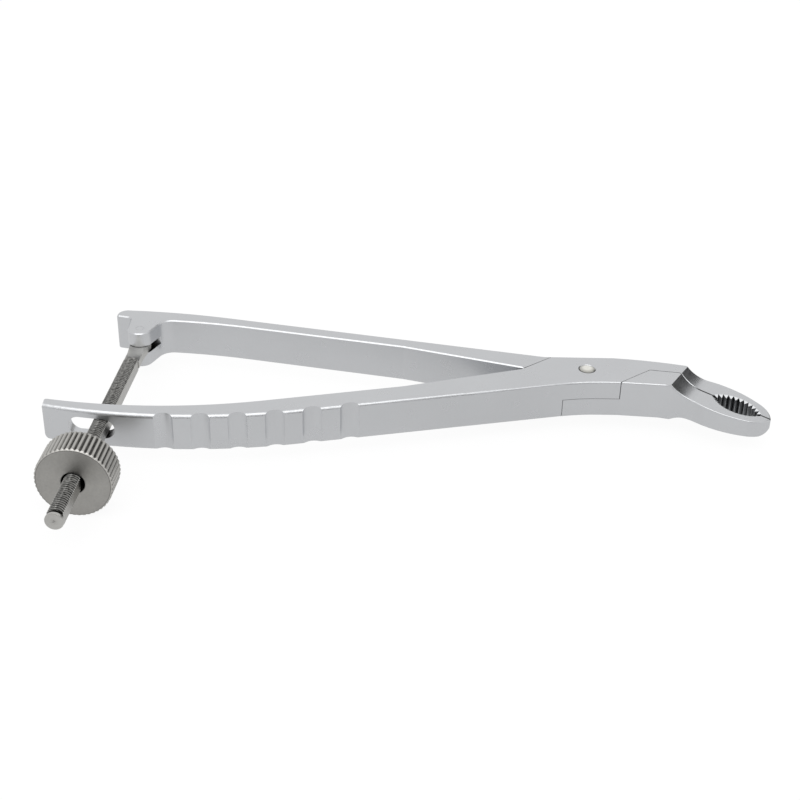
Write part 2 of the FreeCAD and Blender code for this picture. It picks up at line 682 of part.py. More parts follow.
def sweep_rim(body, blank, name, sign, radii):
    """Rounds an outer rim of the near handle from the rear end to the joint, by three sections."""
    near = near_handle_points()
    front = (shoulder_end("1", "joint_near", "-1")[0] + " - seam_gap / 2", "-joint_near")
    path = [near["rear"], near["bow"], near["blend"], near["waist"], front]
    spine = chain(blank, [point + (sign + "arm_thickness / 2",) for point in path])
    headings = ("near_splay - near_bow_sweep - 90", "near_splay - 90", "-90")
    places = (near["rear"], near["bow"], front)
    sections = [rim_section(body, place, heading, sign, radius)
                for place, heading, radius in zip(places, headings, radii)]
    DOC.recompute()
    rim = body.newObject("PartDesign::SubtractivePipe", name)
    rim.Profile = sections[0]
    rim.Spine = (blank, spine)
    rim.Sections = [(section, [""]) for section in sections[1:]]
    rim.Transformation = "Multisection"
    rim.Mode = "Binormal"
    rim.Binormal = FreeCAD.Vector(0, 0, 1)
    for section in sections:
        section.Visibility = False
    DOC.recompute()


def rim_section(body, point, heading, sign, radius):
    """Section of the cut along a rim: the corner of the arm less a quarter circle."""
    place = (point[0], "0", "-(%s)" % point[1])
    sketch = new_sketch(body, "rim_section", "XZ_Plane", place, (FreeCAD.Vector(0, 1, 0), heading))
    low = "%s(arm_thickness / 2 - %s)" % (sign, radius)
    high = "%s(arm_thickness / 2 + rim_round_rear)" % sign
    outline(sketch, [
        ("0", low, radius, -1 if sign else 1),
        ("-" + radius, sign + "arm_thickness / 2"),
        ("-" + radius, high),
        ("rim_round_rear", high),
        ("rim_round_rear", low),
    ])
    return sketch


def round_far_handle(body, blank):
    """Rounds the tail, both sides of the lug, the neck of the jaw and the long edges."""
    far = far_handle_points()
    foot = ("hinge_x - lug_radius", far["rear"][1] + " - tail_thickness")
    item = round_edges(body, "tail_corner", blank, upright(blank, far["rear"]), "tail_round")
    item = round_edges(body, "lug_foot", item, upright(item, foot), "tail_fillet")
    item = round_edges(body, "lug_shoulder", item, upright(item, far["meet"]), "lug_fillet")
    neck = far_jaw_edge(-1)[0]
    item = round_edges(body, "neck_hollow", item, upright(item, neck), "neck_round")
    lap_end = shoulder_end("1", "joint_near", "-1")
    front = both_rims(item, [lap_end, ("bend_x", "bend_y")])
    item = round_edges(body, "front_rims", item, front, "rim_round_front")
    outer = both_rims(item, [far["root"], far["bow"]])
    item = round_edges(body, "outer_rims", item, outer, "edge_round")
    inner = both_rims(item, [far["knee"], far["inner"]])
    bevel_edges(body, "inner_rims", item, inner, "inner_bevel")


def cut_flutes(body):
    """Shallow upright flutes along the outer face of the near handle."""
    near = near_handle_points()
    sketch = new_sketch(body, "flute_circles")
    centre_x, centre_y = near["centre"]
    for index in range(int(number("flute_count"))):
        x = "flute_first + %d * flute_pitch" % index
        straight = "%s + (%s - (%s)) * tan(near_splay)" % (near["bow"][1], x, near["bow"][0])
        bowed = "%s - sqrt(near_bow ^ 2 - (%s - (%s)) ^ 2)" % (centre_y, x, centre_x)
        face = straight if number(x) > number(near["bow"][0]) else bowed
        circle(sketch, x, "%s - flute_radius + flute_depth" % face, "flute_radius")
    feature(body, "Pocket", "flutes", sketch, "2 * arm_thickness", both=True)


def cut_slot(body):
    """Long slot for the spindle through the rear of the near handle."""
    half = "(rod_radius + slot_clearance)"
    sketch = new_sketch(body, "slot_outline", "XZ_Plane")
    outline(sketch, [
        ("slot_rear + " + half, "-" + half),
        ("slot_front - " + half, "-" + half, HALF_CIRCLE, 1),
        ("slot_front - " + half, half),
        ("slot_rear + " + half, half, HALF_CIRCLE, 1),
    ])
    feature(body, "Pocket", "slot", sketch, "40 * rod_radius", both=True)


def make_far_arm():
    body = new_body("far_arm")
    sketch = new_sketch(body, "far_outline")
    far_arm_outline(sketch)
    blank = feature(body, "Pad", "far_blank", sketch, "arm_thickness", both=True)
    round_far_handle(body, blank)
    cut_lap(body, 1)
    thin_jaw(body)
    soften_jaw(body, -1)
    cut_teeth(body, -1)
    hole = drill(body, "pivot_hole", "0", "0", "pivot_radius + pin_clearance")
    sink_pivot_hole(body, hole, "-arm_thickness / 2")
    drill(body, "hinge_hole", "hinge_x", "hinge_y", "pin_radius + pin_clearance")
    cut_slit(body)
    return body


def cut_slit(body):
    """Slit through the lug that takes the flat eye of the spindle."""
    sketch = new_sketch(body, "slit_outline")
    wide = "2 * lug_radius"
    outline(sketch, [
        ("hinge_x - " + wide, "hinge_y - " + wide),
        ("hinge_x + " + wide, "hinge_y - " + wide),
        ("hinge_x + " + wide, "hinge_y + eye_radius + slit_relief"),
        ("hinge_x - " + wide, "hinge_y + eye_radius + slit_relief"),
    ])
    feature(body, "Pocket", "slit", sketch, "eye_thickness + 2 * eye_gap", both=True)


def make_pin(label, x, y, radius, dome):
    """Round pin along Z with an optional dome at both ends."""
    body = new_body(label)
    sketch = new_sketch(body, label + "_profile", "XZ_Plane")
    half = "arm_thickness / 2"
    if dome:
        ball = "(({r}) ^ 2 + ({d}) ^ 2) / (2 * ({d}))".format(r=radius, d=dome)
        outline(sketch, [
            ("0", "-%s - %s" % (half, dome), ball, 1),
            (radius, "-" + half),
            (radius, half, ball, 1),
            ("0", "%s + %s" % (half, dome)),
        ])
    else:
        outline(sketch, [("0", "-" + half), (radius, "-" + half), (radius, half), ("0", half)])
    turn = body.newObject("PartDesign::Revolution", label + "_turned")
    turn.Profile = sketch
    turn.ReferenceAxis = (sketch, ["V_Axis"])
    turn.Angle = 360
    body.setExpression("Placement.Base.x", named(x))
    body.setExpression("Placement.Base.y", named(y))
    sketch.Visibility = False
    DOC.recompute()
    return body


def on_spindle(body):
    """Puts a body whose own -Y axis is the spindle axis onto the hinge."""
    body.Placement = FreeCAD.Placement(FreeCAD.Vector(), FreeCAD.Rotation(FreeCAD.Vector(0, 0, 1), -1))
    body.setExpression("Placement.Base.x", named("hinge_x"))
    body.setExpression("Placement.Base.y", named("hinge_y"))
    body.setExpression("Placement.Rotation.Angle", named("-lean_angle"))


def make_spindle():
    """Threaded rod with two flats, a plain tip and a flat eye."""
    body = new_body("spindle")
    sketch = new_sketch(body, "rod_profile")
    outline(sketch, [
        ("0", "-rod_start"),
        ("0", "-rod_end"),
        ("plain_radius - edge_break", "-rod_end"),
        ("plain_radius", "edge_break - rod_end"),
        ("plain_radius", "plain_length - rod_end"),
        ("rod_radius", "plain_length + rod_radius - plain_radius - rod_end"),
        ("rod_radius", "-rod_start - rod_lead"),
        ("eye_thickness / 2", "-rod_start"),
    ])
    rod = body.newObject("PartDesign::Revolution", "rod")
    rod.Profile = sketch
    rod.ReferenceAxis = (sketch, ["V_Axis"])
    rod.Angle = 360
    sketch.Visibility = False
    sketch = new_sketch(body, "flats_outline")
    for side in ("", "-"):
        x = side + "flat_half"
        wide = side + "2 * rod_radius"
        outline(sketch, [(x, "0"), (x, "-rod_end - rod_radius"), (wide, "-rod_end - rod_radius"), (wide, "0")])
    feature(body, "Pocket", "flats", sketch, "4 * rod_radius", both=True)
    sketch = new_sketch(body, "eye_outline")
    low = "(eye_radius / 3)"
    join = "sqrt(eye_radius ^ 2 - %s ^ 2)" % low
    outline(sketch, [
        (join, "-" + low, "eye_radius", 1),
        ("0", "eye_radius", "eye_radius", 1),
        ("-" + join, "-" + low),
        ("-flat_half", "-eye_neck"),
        ("-flat_half", "-rod_start - rod_radius"),
        ("flat_half", "-rod_start - rod_radius"),
        ("flat_half", "-eye_neck"),
    ])
    feature(body, "Pad", "eye", sketch, "eye_thickness", both=True)
    drill(body, "eye_hole", "0", "0", "pin_radius + pin_clearance")
    on_spindle(body)
    return body


def make_nut():
    """Round nut with chamfered ends, a widened bore and a straight knurl."""
    body = new_body("knurled_nut")
    rear = "(nut_front - nut_length)"
    bore = "(rod_radius + thread_clearance)"
    sketch = new_sketch(body, "nut_profile")
    outline(sketch, [
        (bore, "-%s - nut_recess_depth" % rear),
        (bore + " + nut_recess", "-" + rear),
        ("nut_radius - nut_chamfer", "-" + rear),
        ("nut_radius", "-%s - nut_chamfer" % rear),
        ("nut_radius", "nut_chamfer - nut_front"),
        ("nut_radius - nut_chamfer", "-nut_front"),
        (bore + " + nut_recess", "-nut_front"),
        (bore, "nut_recess_depth - nut_front"),
    ])
    ring = body.newObject("PartDesign::Revolution", "ring")
    ring.Profile = sketch
    ring.ReferenceAxis = (sketch, ["V_Axis"])
    ring.Angle = 360
    sketch.Visibility = False
    sketch = new_sketch(body, "knurl_groove", "XZ_Plane")
    step = "(360 / knurl_count)"
    wide = "(nut_radius * tan(%s / 2) - knurl_land / 2)" % step
    outline(sketch, [
        ("nut_radius - knurl_depth", "0"),
        ("nut_radius", "-" + wide),
        ("nut_radius + knurl_depth", "-2 * " + wide),
        ("nut_radius + knurl_depth", "2 * " + wide),
        ("nut_radius", wide),
    ])
    groove = feature(body, "Pocket", "knurl", sketch, "nut_front * 2.5", both=True)
    pattern = body.newObject("PartDesign::PolarPattern", "knurl_pattern")
    pattern.Originals = [groove]
    pattern.Axis = (sketch, ["N_Axis"])
    pattern.Mode = "Extent"
    pattern.Angle = 360
    pattern.setExpression("Occurrences", named("knurl_count"))
    body.Tip = pattern
    on_spindle(body)
    DOC.recompute()
    return body


def check_and_export(items):
    DOC.recompute()
    for item in DOC.Objects:
        if "Invalid" in item.State or "Error" in item.State:
            raise RuntimeError("feature failed: " + item.Name + " " + str(item.State))
    os.makedirs("parts", exist_ok=True)
    for item in items:
        shape = item.Shape
        if shape.isNull() or not shape.isValid():
            raise RuntimeError("bad shape: " + item.Label)
        print(item.Label, "solids", len(shape.Solids), "volume", round(shape.Volume, 1))
        shape.exportStep(os.path.join("parts", item.Label + ".step"))


fill_sheet()
near_arm = make_near_arm()
far_arm = make_far_arm()
pivot_pin = make_pin("pivot_pin", "0", "0", "pivot_radius", "pivot_dome")
spindle_pin = make_pin("spindle_pin", "hinge_x", "hinge_y", "pin_radius", None)
spindle = make_spindle()
knurled_nut = make_nut()
check_and_export([near_arm, far_arm, pivot_pin, spindle_pin, spindle, knurled_nut])
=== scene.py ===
# %% [markdown]
# # Reduction forceps in satin steel
# The instrument is two crossed arms on a domed pivot pin, with toothed jaws at one end and a threaded
# spindle with a knurled nut between the handles. The solids already have every main shape, so this
# script adds what a solid leaves out: the thread, the knurl, the turned faces, and the finish of each
# metal. All lengths are metres in the same frame as the solids.

# %% Load the solids as the fixed frame
import json
import math
import bmesh
import bpy
import numpy as np
from mathutils import Matrix, Vector


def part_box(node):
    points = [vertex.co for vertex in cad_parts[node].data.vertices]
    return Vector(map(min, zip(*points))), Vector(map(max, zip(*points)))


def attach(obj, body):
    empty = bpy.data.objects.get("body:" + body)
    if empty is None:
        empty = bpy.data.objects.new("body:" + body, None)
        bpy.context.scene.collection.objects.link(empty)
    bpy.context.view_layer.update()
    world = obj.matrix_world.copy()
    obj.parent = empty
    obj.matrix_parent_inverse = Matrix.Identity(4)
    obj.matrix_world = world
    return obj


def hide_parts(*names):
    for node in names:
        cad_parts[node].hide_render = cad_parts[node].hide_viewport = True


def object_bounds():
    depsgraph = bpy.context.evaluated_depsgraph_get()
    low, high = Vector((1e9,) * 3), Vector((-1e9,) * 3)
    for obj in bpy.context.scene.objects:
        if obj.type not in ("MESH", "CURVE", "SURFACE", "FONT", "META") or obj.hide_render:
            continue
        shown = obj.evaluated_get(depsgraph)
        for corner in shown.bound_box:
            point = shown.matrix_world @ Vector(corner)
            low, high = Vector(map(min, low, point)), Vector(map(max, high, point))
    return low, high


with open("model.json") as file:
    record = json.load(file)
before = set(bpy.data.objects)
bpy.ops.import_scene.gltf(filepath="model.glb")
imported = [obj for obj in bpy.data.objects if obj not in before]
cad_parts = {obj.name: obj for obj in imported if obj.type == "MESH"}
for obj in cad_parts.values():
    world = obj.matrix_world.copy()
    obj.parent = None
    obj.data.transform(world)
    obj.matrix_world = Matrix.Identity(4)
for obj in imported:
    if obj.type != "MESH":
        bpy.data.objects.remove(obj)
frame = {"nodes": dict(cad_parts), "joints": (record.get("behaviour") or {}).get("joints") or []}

cad_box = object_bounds()
nodes = frame["nodes"]
joints = {joint["name"]: joint for joint in frame["joints"]}
MM = 0.001
print("solids:", sorted(nodes))

# %% [markdown]
# ## Turned parts
# The pin, the nut and the rod were made on a lathe. The Screw modifier can carry a profile round an
# axis, but a knurl or a thread also needs a radius that changes with the angle. So each shape here is
# a function of two parameters, the place along the profile and the angle, and needs no boolean cut.

# %% A grid of points becomes a closed mesh
def closed_mesh(name, vertices, quads, fans):
    """Object of quads and triangles. The volume under the faces is the sum of a . (b x c) / 6 over
    their triangles, and where it is negative the faces are turned over, so that they look outwards."""
    triangles = np.concatenate([quads[:, [0, 1, 2]], quads[:, [0, 2, 3]], fans])
    corners = vertices[triangles]
    volume = np.einsum("ij,ij->i", corners[:, 0], np.cross(corners[:, 1], corners[:, 2])).sum() / 6
    if volume < 0:
        quads, fans = quads[:, ::-1], fans[:, ::-1]
    mesh = bpy.data.meshes.new(name)
    mesh.from_pydata(vertices.tolist(), [], quads.tolist() + fans.tolist())
    mesh.update()
    obj = bpy.data.objects.new(name, mesh)
    bpy.context.scene.collection.objects.link(obj)
    print(name, "faces", len(mesh.polygons), "volume mm3", round(abs(volume) * 1e9, 1))
    return obj


def grid_mesh(name, points):
    """Mesh of a grid (rows, columns, 3) whose columns close into rings. The first and the last ring
    are closed by fans to their mean points."""
    rows, columns = points.shape[:2]
    row, column = np.meshgrid(np.arange(rows - 1), np.arange(columns), indexing="ij")
    here = row * columns + column
    beside = row * columns + (column + 1) % columns
    quads = np.stack([here, beside, beside + columns, here + columns], -1).reshape(-1, 4)
    ring = np.arange(columns)
    following = (ring + 1) % columns
    first, last = rows * columns, rows * columns + 1
    top = (rows - 1) * columns
    fans = np.concatenate([
        np.stack([np.full(columns, first), following, ring], -1),
        np.stack([np.full(columns, last), top + ring, top + following], -1)])
    vertices = np.concatenate([points.reshape(-1, 3), [points[0].mean(0), points[-1].mean(0)]])
    return closed_mesh(name, vertices, quads, fans)


def ring_mesh(name, points):
    """Mesh of a grid (rows, columns, 3) that closes both ways, like a ring doughnut."""
    rows, columns = points.shape[:2]
    row, column = np.meshgrid(np.arange(rows), np.arange(columns), indexing="ij")
    next_row = (row + 1) % rows
    next_column = (column + 1) % columns
    quads = np.stack([row * columns + column, row * columns + next_column,
                      next_row * columns + next_column, next_row * columns + column], -1).reshape(-1, 4)
    return closed_mesh(name, points.reshape(-1, 3), quads, np.empty((0, 3), int))


STEEP = 0.9


def place_on_axis(along, radius, angle, origin, axis):
    """Points origin + axis * along + radius * (side * cos(angle) + up * sin(angle)), where side and up
    are square to the axis. The three arrays have the same shape."""
    axis = np.array(axis, float) / np.linalg.norm(axis)
    steep = abs(axis[2]) > STEEP
    up = np.array((0.0, 1.0, 0.0)) if steep else np.array((0.0, 0.0, 1.0))
    side = np.cross(up, axis)
    out = np.array(origin) + along[..., None] * axis
    return out + radius[..., None] * (np.cos(angle)[..., None] * side + np.sin(angle)[..., None] * up)


def smooth_by_angle(obj, degrees):
    """Smooth shading, with the edges that turn by more than the angle kept crisp."""
    mesh = obj.data
    mesh.shade_smooth()
    mesh.set_sharp_from_angle(angle=math.radians(degrees))


def paint(obj, name, values):
    """Float attribute with one value for each vertex. Vertices past the list get 0."""
    data = obj.data.attributes.new(name, "FLOAT", "POINT").data
    filled = np.zeros(len(data), np.float32)
    filled[:len(values)] = values
    data.foreach_set("value", filled)


# %% [markdown]
# ## The spindle's place
# The two joints of the spindle say where it is: the swing joint gives the hinge, and the nut's slide
# gives the direction of the rod. Reading them keeps the thread on the solid if the source changes.

# %% Axis of the spindle
hinge = np.array(joints["spindle_swing"]["pos_m"])
rod_axis = np.array(joints["nut_travel"]["axis"])
rod_axis = rod_axis / np.linalg.norm(rod_axis)


def along_rod(node):
    """Lowest and highest distance of a node's vertices along the rod, from the hinge."""
    data = nodes[node].data
    points = np.empty(len(data.vertices) * 3, np.float32)
    data.vertices.foreach_get("co", points)
    reach = (points.reshape(-1, 3) - hinge) @ rod_axis
    return float(reach.min()), float(reach.max())


rod_reach = along_rod("spindle")
nut_reach = along_rod("knurled_nut")
print("rod", [round(v / MM, 2) for v in rod_reach], "nut", [round(v / MM, 2) for v in nut_reach])

# %% [markdown]
# ## The thread
# A fine metric thread is a ridge that climbs one pitch in each turn. It could be a helix joined to a
# plain rod, but the flats and the plain tip would then need cuts of their own. Here the radius depends
# on one number, the place along the rod in pitches plus the part of a turn: inside a pitch it is a
# flat root, a straight flank, a flat crest and a flank down again. Two flats are milled along the
# rod, so the radius is also never more than the flat allows, and a light trace of the grooves stays
# on them. The thread is darkened, and its grooves more by their depth below the crest: partly oil and
# partly painted shade in the grooves. That amount is kept as an attribute for the material.

# %% Radius of the thread and its flats
PITCH = 0.8 * MM
CREST = 2.5 * MM
ROOT = 2.0 * MM
FLAT = 1.98 * MM
TONGUE = 2.05 * MM / 2
ROD_START = 10.6 * MM
ROD_LEAD = 1.4 * MM
ROOT_SHARE, FLANK_SHARE = 0.22, 0.62
FLAT_TRACE = 0.035 * MM
START_LIFT = 0.012 * MM
CORE = 0.5 * MM
# Darkening by oil and painted shade: on the flats' traces, on the whole thread, and more in its valleys.
FLAT_OIL_AND_SHADE, CREST_OIL_AND_SHADE, VALLEY_OIL_AND_SHADE = 0.12, 0.4, 0.53


def thread_height(phase):
    """Height from 0 at the root to 1 at the crest. The distance from the pitch's middle, doubled, is
    level at 0 up to ROOT_SHARE and reaches 1 a FLANK_SHARE later."""
    ramp = np.abs((phase % 1.0) - 0.5) * 2
    return np.clip((ramp - ROOT_SHARE) / FLANK_SHARE, 0.0, 1.0)


def rod_radius(along, angle):
    """Radius of the rod, and its darkening by oil and painted shade. The radius is ROOT + (CREST - ROOT) *
    height on the thread and FLAT / |cos(angle)| on the flats, and it stays below the ramp that starts the
    rod."""
    turn = angle / (2 * math.pi)
    height = thread_height(along / PITCH + turn)
    radius = ROOT + (CREST - ROOT) * height
    sideways = np.abs(np.cos(angle))
    on_flat = CREST * sideways > FLAT
    flat = FLAT / np.where(on_flat, sideways, 1.0)
    trace = FLAT_TRACE * (1 - height)
    radius = np.where(on_flat, np.minimum(flat - trace, CREST), radius)
    ramp = TONGUE + (along - ROD_START) * (CREST - TONGUE) / ROD_LEAD + START_LIFT
    # Painted shade and oil: the thread is darkened, its valleys more with their depth.
    oil_and_shade = np.where(on_flat, FLAT_OIL_AND_SHADE * (1 - height), CREST_OIL_AND_SHADE + VALLEY_OIL_AND_SHADE * (1 - height ** 3))
    return np.minimum(radius, np.maximum(ramp, CORE)), oil_and_shade


# %% Threaded rod with its undercut and plain tip
ROWS_PER_PITCH = 8
ROD_COLUMNS = 96
TIP_LENGTH = 1.25 * MM
thread_end = rod_reach[1] - TIP_LENGTH
angle = np.linspace(0, 2 * math.pi, ROD_COLUMNS, endpoint=False)
along = np.arange(ROD_START, thread_end, PITCH / ROWS_PER_PITCH)
threaded, oil_and_shade = rod_radius(*np.meshgrid(along, angle, indexing="ij"))
# Rows of the tip: distance past the thread and radius, both in mm, and oil and painted shade, darkest in
# the undercut.
tip_profile = np.array([
    (0.00, 1.88, 1.0), (0.34, 1.88, 1.0), (0.36, 2.1, 0.5), (0.44, 2.3, 0.0), (0.5, 2.35, 0.0),
    (1.05, 2.35, 0.0), (1.19, 2.28, 0.0), (1.24, 2.18, 0.0), (1.25, 2.05, 0.0), (1.25, 1.2, 0.0),
    (1.25, 0.42, 0.1), (1.14, 0.26, 0.3), (1.08, 0.1, 0.3)]) * (MM, MM, 1)
tip_along = thread_end + tip_profile[:, 0]
tip_radius = np.repeat(tip_profile[:, 1:2], ROD_COLUMNS, axis=1)
tip_oil_and_shade = np.repeat(tip_profile[:, 2:], ROD_COLUMNS, axis=1)
all_along = np.repeat(np.concatenate([along, tip_along])[:, None], ROD_COLUMNS, axis=1)
all_radius = np.concatenate([threaded, tip_radius])
all_angle = np.broadcast_to(angle, all_along.shape)
rod = grid_mesh("spindle_rod", place_on_axis(all_along, all_radius, all_angle, hinge, rod_axis))
smooth_by_angle(rod, degrees=28)
paint(rod, "oil_and_shade", np.concatenate([oil_and_shade, tip_oil_and_shade]).ravel())

# %% [markdown]
# ## The tongue and eye of the spindle
# The rod ends in a flat tongue with a round eye, which the solid already has. It could be modelled
# again, but a copy of the solid keeps the eye exactly round its pin. The copy is cut off square just
# inside the thread's ramp, so the two pieces meet without a double skin.

# %% Tongue cut from a copy of the solid
MERGE_DISTANCE = 0.001 * MM
CUT_SHARE = 0.8


def merged_copy(node, name):
    """Copy of a solid's mesh with its loose triangles joined, open for more edits."""
    mesh = nodes[node].data.copy()
    mesh.name = name
    work = bmesh.new()
    work.from_mesh(mesh)
    bmesh.ops.remove_doubles(work, verts=work.verts, dist=MERGE_DISTANCE)
    return work, mesh


def finished(work, mesh, name):
    """Object of the edited mesh."""
    work.to_mesh(mesh)
    work.free()
    obj = bpy.data.objects.new(name, mesh)
    bpy.context.scene.collection.objects.link(obj)
    return obj


work, mesh = merged_copy("spindle", "spindle_tongue")
cut_at = hinge + rod_axis * (ROD_START + CUT_SHARE * ROD_LEAD)
bmesh.ops.bisect_plane(
    work, geom=work.verts[:] + work.edges[:] + work.faces[:], plane_co=cut_at, plane_no=rod_axis,
    clear_outer=True)
open_edges = [edge for edge in work.edges if edge.is_boundary]
bmesh.ops.holes_fill(work, edges=open_edges)
tongue = finished(work, mesh, "spindle_tongue")
smooth_by_angle(tongue, degrees=30)
print("tongue faces", len(tongue.data.polygons))

# %% [markdown]
# ## The knurled nut
# A straight knurl is pressed in by a roller with teeth: the tops are rounded lands and the grooves
# are soft valleys, and they fade just before each chamfer. Boolean cuts would leave sharp edges, so
# the same grid as the rod makes it, with a radius that dips once for every tooth of the roller. The
# valleys, the fine line that the tool left at the rim of the face and the bore are darkened, partly
# oil and partly painted shade in these hollows.

# %% Rings and knurl of the nut
KNURLS = 48
NUT_RADIUS = 9.8 * MM
KNURL_DEPTH = 0.5 * MM
BORE = 2.56 * MM
COUNTERSINK = 0.9 * MM
RIM_START, RIM_RINGS = 0.16, 12
VALLEY_MIDDLE, VALLEY_SWING, VALLEY_POWER = 0.25, 0.8, 1.2
WANDER, WANDER_WAVES = 0.15, 7
rear, front = nut_reach


def nut_rings():
    """Rings (distance from the rear face, radius, share of the knurl, oil and painted shade): out along the
    rear face, over the knurled rim, in along the front face and back through the bore. The rows of one
    end are in mm, and the other end is their mirror image."""
    length = front - rear
    end = [(0.0, 3.05, 0.0, 0.6), (0.0, 3.3, 0.0, 0.3), (0.0, 7.0, 0.0, 0.28), (0.0, 9.22, 0.0, 0.3),
           (-0.05, 9.3, 0.0, 0.85), (0.0, 9.38, 0.0, 0.5), (0.05, 9.46, 0.0, 0.0),
           (0.3, 9.7, 0.25, 0.0), (0.38, 9.8, 0.5, 0.0), (0.6, 9.8, 1.0, 0.0)]
    near_end = [(depth * MM, reach * MM, share, oil_and_shade) for depth, reach, share, oil_and_shade in end]
    far_end = [(length - depth, reach, share, oil_and_shade) for depth, reach, share, oil_and_shade in near_end[::-1]]
    shares = np.linspace(RIM_START, 1.0 - RIM_START, RIM_RINGS)
    rim = [(length * share, NUT_RADIUS, 1.0, 0.0) for share in shares]
    bore = [(reach, BORE, 0.0, 1.0) for reach in (length - COUNTERSINK, length / 2, COUNTERSINK)]
    return np.array(near_end + rim + far_end + bore)


def valley_depth(angle):
    """Depth of the knurl's grooves from 0 to 1: a cosine for each tooth of the roller, cut off at its
    lands. The roller wanders a little, so the grooves aren't quite evenly spaced."""
    wander = WANDER * np.sin(WANDER_WAVES * angle)
    wave = VALLEY_MIDDLE + VALLEY_SWING * np.cos(angle * KNURLS + wander)
    return np.clip(wave, 0.0, 1.0) ** VALLEY_POWER


# %% Knurled nut
COLUMNS_PER_KNURL = 10
OIL_AND_SHADE_POWER = 1.5
angle = np.linspace(0, 2 * math.pi, KNURLS * COLUMNS_PER_KNURL, endpoint=False)
rings = nut_rings()
row, all_angle = np.meshgrid(np.arange(len(rings)), angle, indexing="ij")
valley = valley_depth(all_angle)
radius = rings[row, 1] - KNURL_DEPTH * rings[row, 2] * valley
nut = ring_mesh("nut", place_on_axis(rear + rings[row, 0], radius, all_angle, hinge, rod_axis))
smooth_by_angle(nut, degrees=30)
# Painted shade and oil: the knurl's valleys darken with their depth, and each ring keeps its own amount.
paint(nut, "oil_and_shade", np.maximum(rings[row, 3], rings[row, 2] * valley ** OIL_AND_SHADE_POWER).ravel())

# %% [markdown]
# ## The pivot pin
# The ends of the pin are riveted over and polished to low domes. A squashed sphere would stand
# upright at its rim. A dome is an arc of a large circle, so its profile is worked out from its rise
# and its radius.

# %% Domed pin
pin_low, pin_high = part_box("pivot_pin")
pin_radius = (pin_high.x - pin_low.x) / 2
arm_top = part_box("near_arm")[1].z
DOME_RINGS, DOME_COLUMNS = 14, 96
CENTRE_SHARE = 0.02


def dome(rise, radius, steps):
    """Profile (radius, height) of a cap: a circle of radius (r^2 + d^2) / (2 d) through the rim."""
    ball = (radius ** 2 + rise ** 2) / (2 * rise)
    reach = np.linspace(radius, radius * CENTRE_SHARE, steps)
    return np.stack([reach, np.sqrt(ball ** 2 - reach ** 2) - (ball - rise)], -1)


cap = dome(pin_high.z - arm_top, pin_radius, DOME_RINGS)
upper = np.stack([cap[:, 0], arm_top + cap[:, 1]], -1)
profile = np.concatenate([upper[::-1] * (1, -1), upper])
angle = np.linspace(0, 2 * math.pi, DOME_COLUMNS, endpoint=False)
row, all_angle = np.meshgrid(np.arange(len(profile)), angle, indexing="ij")
pin_points = place_on_axis(profile[row, 1], profile[row, 0], all_angle, (0, 0, 0), (0, 0, 1))
pin = grid_mesh("pivot_dome", pin_points)
smooth_by_angle(pin, degrees=40)

# %% [markdown]
# ## Grain, tone and pits
# Satin steel is blasted with fine beads. Up close it has a grain of a few tenths of a millimetre, the
# tone drifts softly over centimetres, and here and there is a tiny pit. As a shape this would take
# millions of faces, so it is a bump and a change of tone. All the metals share it, in different
# amounts, so it is one node group that puts out a height, a tone and a roughness. The scales of the
# noises are in cells per metre.

# %% Node helpers
def new_group(name, inputs, outputs):
    """Shader node group with float or vector sockets."""
    group = bpy.data.node_groups.new(name, "ShaderNodeTree")
    for label, kind, value in inputs:
        socket = group.interface.new_socket(name=label, in_out="INPUT", socket_type=kind)
        if value is not None:
            socket.default_value = value
    for label, kind in outputs:
        group.interface.new_socket(name=label, in_out="OUTPUT", socket_type=kind)
    print("group", name, "puts out", [label for label, _ in outputs])
    return group, group.nodes.new("NodeGroupInput"), group.nodes.new("NodeGroupOutput")


def add(tree, kind, links=(), **settings):
    """Node with settings, and with (input, source or value) pairs linked or set."""
    node = tree.nodes.new(kind)
    for key, value in settings.items():
        setattr(node, key, value)
    for socket, source in links:
        if isinstance(source, bpy.types.NodeSocket):
            tree.links.new(source, node.inputs[socket])
        else:
            node.inputs[socket].default_value = source
    return node


def math_node(tree, operation, *values):
    """Output of a math node whose inputs are sockets or constants."""
    node = tree.nodes.new("ShaderNodeMath")
    node.operation = operation
    for index, value in enumerate(values):
        if isinstance(value, bpy.types.NodeSocket):
            tree.links.new(value, node.inputs[index])
        else:
            node.inputs[index].default_value = value
    return node.outputs[0]


def ramp_node(tree, value, low, high, out_low=0.0, out_high=1.0):
    """Straight ramp from out_low at low to out_high at high, held level beyond both."""
    node = add(tree, "ShaderNodeMapRange", [
        ("Value", value), ("From Min", low), ("From Max", high), ("To Min", out_low), ("To Max", out_high)])
    return node.outputs["Result"]


# %% Group: satin grain
GRAIN_SCALE, TONE_SCALE, SMUDGE_SCALE, PIT_SCALE = 3200.0, 70.0, 240.0, 160.0
PIT_CORE, PIT_EDGE = 0.022, 0.045
RARE_FROM, RARE_TO = 0.84, 0.86
SMUDGE_TONE, SMUDGE_ROUGHNESS, PIT_TONE = 0.5, 0.1, 0.5


